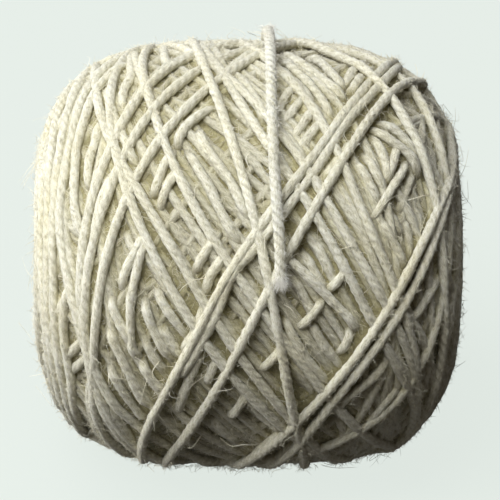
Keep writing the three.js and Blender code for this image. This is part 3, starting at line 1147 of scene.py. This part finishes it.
def strandPiece(name, turns, closed, kind):
    # one mesh of tubes for the shown runs of these turns; the radius is the strand's times
    # its lobes, slubs and a random part, and an open turn's ends are thinner and painted darker as shade
    plan = strandKinds[kind]
    radius = yarnLook["thickness"] / 2
    angles = roundAngles(plan["sides"])
    pattern = np.resize(np.array(plan["lobe"]), plan["sides"])
    parts, endShades = [], []
    for turn, whole in zip(turns, closed):
        for run in shownRuns(turn, whole):
            path = evenSteps(turn[run], plan["step"], False)
            inFrame = pressedToFloor(toFrame(path), radius)
            outward = unit(path) @ faceAxes
            along = np.arange(len(path)) * plan["step"]
            turnAngle = -along * 2 * math.pi / yarnLook["twistLength"] * plan["twisted"]
            section = pattern[None, :] * radius * slubs(along)[:, None]
            section = section * (1 + chance.normal(0, plan["rough"], section.shape))
            # painted shade that darkens an open turn's ends as they go down under others
            shade = np.zeros(len(path) * plan["sides"] + 2)
            if not whole:
                shade[:-2] = np.repeat(endDip(along), plan["sides"]) * seenRules["endShade"]
                shade[-2:] = seenRules["dip"] * seenRules["endShade"]
                fromEnd = np.minimum(along, along[-1] - along) / narrowEnds["over"]
                fromEnd = np.clip(fromEnd, 0, 1) ** narrowEnds["shape"]
                thin = narrowEnds["tip"] + (1 - narrowEnds["tip"]) * fromEnd
                section = section * thin[:, None]
            endShades.append(shade)
            parts.append(tube(inFrame, outward, section, angles, turnAngle, chance.uniform(0, patternStart)))
    points, quads, caps, uv = joined(parts)
    points[:, 2] = np.maximum(points[:, 2], strandFloor)
    piece = newPiece(name, points, quads, caps, strandFinish, "yarn_ball")
    setUv(piece, uv)
    # painted shade: the depth under the outside, more at the ends of open turns, and the depth under the
    # ground round about
    setNumber(piece, "paintedShadeDepth", depthUnder(points) + np.concatenate(endShades))
    setNumber(piece, "paintedNookShade", nookUnder(points))
    report("%s, %d triangles" % (name, len(quads) * 2 + len(caps)))
    return piece


def chosen(items, numbers):
    # the items with these numbers
    return [items[k] for k in numbers]


mainCount = 6                     # the closed turns wound last, which are meshed most finely
mainOnes = [k for k, closed in enumerate(faceClosed) if closed][-mainCount:]
others = [k for k in range(len(faceTurns)) if k not in mainOnes]
topTurns, topClosed = chosen(faceTurns, mainOnes), chosen(faceClosed, mainOnes)
for rows in (rootRoute, coverRoute):
    topTurns.append(routeLine(rows, winding["step"]))
    topClosed.append(False)
strandPiece("main_turns", topTurns, topClosed, "top")
strandPiece("face_turns", chosen(faceTurns, others), chosen(faceClosed, others), "face")
windingNames = ("winding_deep", "winding_1", "winding_2", "winding_3")  # layers, then sweeps
bounds = [0] + [firstSweep + (lastSweep - firstSweep) * k // 3 for k in range(4)]
for name, begin, end in zip(windingNames, bounds, bounds[1:]):
    strandPiece(name, machineTurns[begin:end], [True] * (end - begin), "under")


# Fibres that stand off the yarn: many short ones make its soft edge, and a few long
# ones curl over the face.
shortFuzz = {
    "count": 30000,
    "long": (0.6, 1.9),           # mm
    "radius": 0.058,              # mm
    "segments": 1,
    "curl": 0.0,                  # mm to each side
    "standOff": (0.12, 0.8),      # how steeply they leave the strand
    "waves": 0.5,
    "bury": 0.15,                 # mm that the root lies inside the strand
    "backward": 0.5,              # the part that lies against the run of the strand
    "seed": 5,
}
fineFuzz = dict(shortFuzz, count=14000, long=(0.4, 1.1), radius=0.05, standOff=(0.2, 0.95), seed=7)
bentFuzz = dict(shortFuzz, count=5000, long=(1.2, 3.2), segments=3, curl=0.4,
                standOff=(0.1, 0.6), seed=6)
longFuzz = dict(shortFuzz, count=900, long=(2.5, 8.0), radius=0.062, segments=7, curl=0.95,
                standOff=(0.02, 0.38), waves=1.1, seed=9)
looseFuzz = dict(bentFuzz, count=700, long=(0.6, 1.8), bury=0.05, seed=12)
frayedEnd = dict(bentFuzz, count=420, long=(0.8, 3.2), standOff=(0.0, 0.55), backward=0.1,
                 curl=0.35, bury=0.5, radius=0.04, seed=13)
frayedOver = 2.6                  # mm of the loose end that is frayed
hairRule = {
    "openDepth": 1.1,             # mm under the ground that a strand with hairs may lie
    "spin": 1.35,                 # radians to each side of straight out, where roots are
    "aslant": 0.5,                # how far hairs lean to the strand's sides
    "wavesVary": (0.6, 1.4),
    "turned": 0.3,                # how far a hair's curl turns with the strand's run
    "droop": 0.55,                # how far the curl comes back towards the tip
    "tip": 0.5,                   # the last ring's part of the radius
}


def fuzzRoots(plan, rng):
    # random places on strands that lie open, with the run of the strand there
    places, runs = [], []
    for turn in machineTurns + faceTurns:
        isOpen = ground[cellOf(turn)] - np.linalg.norm(turn, axis=1) < hairRule["openDepth"]
        places.append(turn[isOpen])
        runs.append(unit(np.gradient(turn, axis=0))[isOpen])
    places, runs = np.vstack(places), np.vstack(runs)
    pick = rng.integers(0, len(places), plan["count"])
    return places[pick], runs[pick]


def fibres(name, plan, rng, places, runs, material):
    # each fibre: root + way * length * t, with a sine to both sides that grows along it
    count, segments, sides = len(places), plan["segments"], 3
    outward = unit(places)
    side = np.cross(runs, outward)
    spin = rng.uniform(-hairRule["spin"], hairRule["spin"], count)[:, None]
    away = outward * np.cos(spin) + side * np.sin(spin)
    steep = rng.uniform(*plan["standOff"], count)[:, None]
    sense = np.where(rng.uniform(0, 1, count) < plan["backward"], -1.0, 1.0)[:, None]
    forward = runs * sense + side * rng.normal(0, hairRule["aslant"], count)[:, None]
    way = unit(forward * (1 - steep) + away * steep)
    across = unit(np.cross(way, outward + hairRule["turned"] * runs))
    over = np.cross(across, way)
    length = rng.uniform(*plan["long"], count)
    t = np.linspace(0, 1, segments + 1)[None, :, None]
    waves = plan["waves"] * rng.uniform(*hairRule["wavesVary"], count)[:, None, None]
    begin = rng.uniform(0, 2 * math.pi, (2, count, 1, 1))
    share = (length / np.mean(plan["long"]))[:, None, None]
    curl = plan["curl"] * rng.normal(0, 1, (2, count, 1, 1)) * share
    root = places + away * (yarnLook["thickness"] / 2 - plan["bury"])
    path = (root[:, None] + way[:, None] * length[:, None, None] * t
            + across[:, None] * curl[0] * (np.sin(2 * math.pi * waves * t + begin[0]) - np.sin(begin[0]))
            + over[:, None] * np.abs(curl[1]) * t * (1 - hairRule["droop"] * t))
    taper = plan["radius"] * np.linspace(1.0, hairRule["tip"], segments)[None, :, None, None]
    angle = roundAngles(sides)
    ring = (np.cos(angle)[None, None, :, None] * across[:, None, None]
            + np.sin(angle)[None, None, :, None] * over[:, None, None])
    rings = path[:, :-1, None] + ring[:, None, 0] * taper
    points = np.concatenate([rings.reshape(count, -1, 3), path[:, -1:]], axis=1)
    shift = np.arange(count)[:, None, None] * (segments * sides + 1)
    _, _, quads, caps = ringFaces(segments, sides)
    tips = np.vstack([[[2, 1, 0]], caps[sides:, [1, 2, 0]] - (0, 0, 1)])
    inFrame = toFrame(points.reshape(-1, 3))
    inFrame[:, 2] = np.maximum(inFrame[:, 2], hairFloor)
    piece = newPiece(name, inFrame, (quads[None] + shift).reshape(-1, 4),
                     (tips[None] + shift).reshape(-1, 3), material, "yarn_ball")
    report("%s, %d triangles" % (name, count * (len(quads) * 2 + len(tips))))
    return piece


for name, plan in (("short_fuzz", shortFuzz), ("fine_fuzz", fineFuzz),
                   ("bent_fuzz", bentFuzz), ("long_fuzz", longFuzz)):
    rng = np.random.default_rng(plan["seed"])
    fibres(name, plan, rng, *fuzzRoots(plan, rng), fuzzFinish)
looseRun = unit(np.gradient(loosePath, axis=0))
frayedFrom = len(loosePath) - int(frayedOver / looseEnd["step"])
for name, plan, begin in (("loose_end_fuzz", looseFuzz, 0), ("frayed_end", frayedEnd, frayedFrom)):
    rng = np.random.default_rng(plan["seed"])
    pick = rng.integers(begin, len(loosePath), plan["count"])
    fibres(name, plan, rng, loosePath[pick], looseRun[pick], frayedFinish)


# single long fibres that lie over the face, each by the pixels that it passes
strayFibres = [
    [(412, 199), (423, 196), (434, 196)],
    [(178, 292), (183, 287), (192, 281), (200, 279), (208, 278)],
    [(184, 449), (192, 446), (200, 440)],
    [(220, 443), (231, 446), (243, 443), (252, 445), (262, 448)],
    [(285, 306), (290, 308), (294, 313), (299, 319)],
    [(447, 257), (455, 261), (458, 267), (453, 272)],
    [(157, 364), (153, 371), (156, 380), (162, 383)],
    [(168, 387), (171, 395), (180, 401)],
    [(106, 376), (110, 382), (107, 390)],
    [(340, 250), (352, 246), (361, 249)],
    [(250, 150), (246, 160), (251, 170)],
]
# mm: a hair's radius, how far it rises, how far its feet lie under the outside, points round
# it, and the distance between them
strayRule = {"radius": 0.085, "lift": 1.5, "foot": 1.1, "sides": 4, "step": 0.35}


def strayPiece():
    # over its row each fibre rises from its foot by half a sine
    parts = []
    angles = roundAngles(strayRule["sides"])
    for pixels in strayFibres:
        row = smoothLine(np.array(pixels, float), parts=10)
        rise = strayRule["lift"] * np.sin(np.linspace(0, math.pi, len(row)))
        base = seenAt(row, 0.0)
        path = unit(base) * (np.linalg.norm(base, axis=1) - strayRule["foot"] + rise)[:, None]
        path = evenSteps(path, strayRule["step"], False)
        section = np.full((len(path), strayRule["sides"]), strayRule["radius"])
        parts.append(tube(toFrame(path), unit(path) @ faceAxes, section, angles, np.zeros(len(path)), 0.0))
    points, quads, caps, _ = joined(parts)
    return newPiece("stray_fibres", points, quads, caps, fuzzFinish, "yarn_ball")


strayPiece()

# The imported yarn and matted fibres between the turns that show, one closed round in olive
# painted shade: it lies a little under the mean of the ground round about, and under the strand that is
# nearest.
packed = {
    "around": 250,                # points round the axis
    "across": 150,                # rows from end to end
    "rings": (0.9, 1.8, 2.8),     # mm
    "underMean": 1.0,             # mm
    "nearRings": (0.5, 1.0),
    "underNear": 0.85,
    "atFloor": 0.9,               # mm over the floor
}


def packedHeight(directions):
    # the lower of the two heights, from the middle
    local = directions * ground[cellOf(directions)][:, None]
    mean = groundAround(local, packed["rings"]).mean(axis=0)
    near = groundAround(local, packed["nearRings"]).max(axis=0)
    return np.minimum(mean - packed["underMean"], near - packed["underNear"])


def packedRound():
    # rows of points from one end of the axis to the other, each at its height, which is
    # then half its own and a quarter of each neighbour's
    theta = np.linspace(0, math.pi, packed["across"] + 1)[1:-1]
    t, p = np.meshgrid(theta, roundAngles(packed["around"]), indexing="ij")
    directions = np.stack([np.cos(t), np.sin(t) * np.sin(p), np.sin(t) * np.cos(p)], axis=-1)
    directions = directions.reshape(-1, 3)
    ends = np.array([[1.0, 0, 0], [-1.0, 0, 0]])
    rows, sides = len(theta), packed["around"]
    height = packedHeight(directions).reshape(rows, sides)
    height = (height * 2 + np.roll(height, 1, axis=1) + np.roll(height, -1, axis=1)) / 4
    height[1:-1] = (height[1:-1] * 2 + height[:-2] + height[2:]) / 4
    points = np.vstack([directions * height.reshape(-1, 1), ends * packedHeight(ends)[:, None]])
    _, _, quads, caps = ringFaces(rows, sides)
    return points, quads[:, [0, 3, 2, 1]], caps[:, [0, 2, 1]]


packedPoints, packedQuads, packedCaps = packedRound()
newPiece("packed_winding", pressedToFloor(toFrame(packedPoints), packed["atFloor"]), packedQuads,
         packedCaps, packedFinish, "yarn_ball")
report("packed yarn made")


# the floor and the lights
stand = {
    "floorSize": 6.0,             # m
    "floorColour": linear(58, 61, 59),
    "floorMottle": linear(54, 57, 55),
    "mottleNoise": (3.0, 2.0),    # scale, detail
    "mottleShare": 0.05,
    "floorRoughness": 0.9,
    "roughSpread": 0.02,
    "glowColour": linear(228, 236, 230),
    "floorGlow": 0.94,            # light of the floor's own, which keeps the shadow on it faint
    "backdropGlow": 0.9,
    "worldColour": (1.0, 0.84, 0.66, 1.0),
    "worldLight": 0.04,
}
# each row: name, place (mm across, up and out from the middle), size in m, power, colour
lamps = [
    ("key_light", (-360, 650, 670), 0.9, 13.2, (0.99, 1.0, 1.0)),
    ("side_light", (-980, 30, 100), 0.7, 9.0, (1.0, 1.0, 0.98)),
    ("fill_light", (-420, 170, 890), 0.5, 1.2, (1.0, 0.98, 0.9)),
    ("back_light", (-300, 500, -900), 0.6, 3.0, (1.0, 0.99, 0.97)),
]


def floorFinish():
    # a plain pale sheet with the faintest mottling
    finish = Finish("pale_floor")
    patches = finish.noise(finish.place(), *stand["mottleNoise"])
    share = patches * stand["mottleShare"]
    colour = finish.mixColour(share, stand["floorColour"], stand["floorMottle"])
    return finish.done(colour, stand["floorRoughness"] + patches * stand["roughSpread"], None,
                       Emission_Color=stand["glowColour"], Emission_Strength=stand["floorGlow"])


half = stand["floorSize"] / 2
floorMesh = bpy.data.meshes.new("floor")
floorMesh.from_pydata([(-half, -half, 0), (half, -half, 0), (half, half, 0), (-half, half, 0)],
                      [], [(0, 1, 2, 3)])
floorMesh.materials.append(floorFinish())
floor = bpy.data.objects.new("floor", floorMesh)
bpy.context.collection.objects.link(floor)
floor.visible_diffuse = False


def softLight(name, place, size, power, colour):
    # a square panel of light at its place, facing the middle of the ball
    data = bpy.data.lights.new(name, "AREA")
    data.shape = "SQUARE"
    data.size = size
    data.energy = power
    data.color = colour
    lamp = bpy.data.objects.new(name, data)
    bpy.context.collection.objects.link(lamp)
    middle = Vector(toFrame(np.zeros(3)) * mm)
    lamp.location = Vector(toFrame(np.array(place, float)) * mm)
    lamp.rotation_euler = (middle - lamp.location).to_track_quat("-Z", "Y").to_euler()
    return lamp


for row in lamps:
    softLight(*row)


def studioWorld():
    # soft light from all round, and a plain pale backdrop where the floor ends
    world = bpy.data.worlds.new("studio")
    world.use_nodes = True
    nodes, links = world.node_tree.nodes, world.node_tree.links
    around, backdrop = nodes["Background"], nodes.new("ShaderNodeBackground")
    for shader, colour, strength in ((around, stand["worldColour"], stand["worldLight"]),
                                     (backdrop, stand["glowColour"], stand["backdropGlow"])):
        shader.inputs["Color"].default_value = colour
        shader.inputs["Strength"].default_value = strength
    which = nodes.new("ShaderNodeMixShader")
    links.new(nodes.new("ShaderNodeLightPath").outputs["Is Camera Ray"], which.inputs[0])
    links.new(around.outputs[0], which.inputs[1])
    links.new(backdrop.outputs[0], which.inputs[2])
    links.new(which.outputs[0], nodes["World Output"].inputs[0])
    return world


bpy.context.scene.world = studioWorld()
bpy.context.scene.view_settings.view_transform = "Standard"

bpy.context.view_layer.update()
report("done")
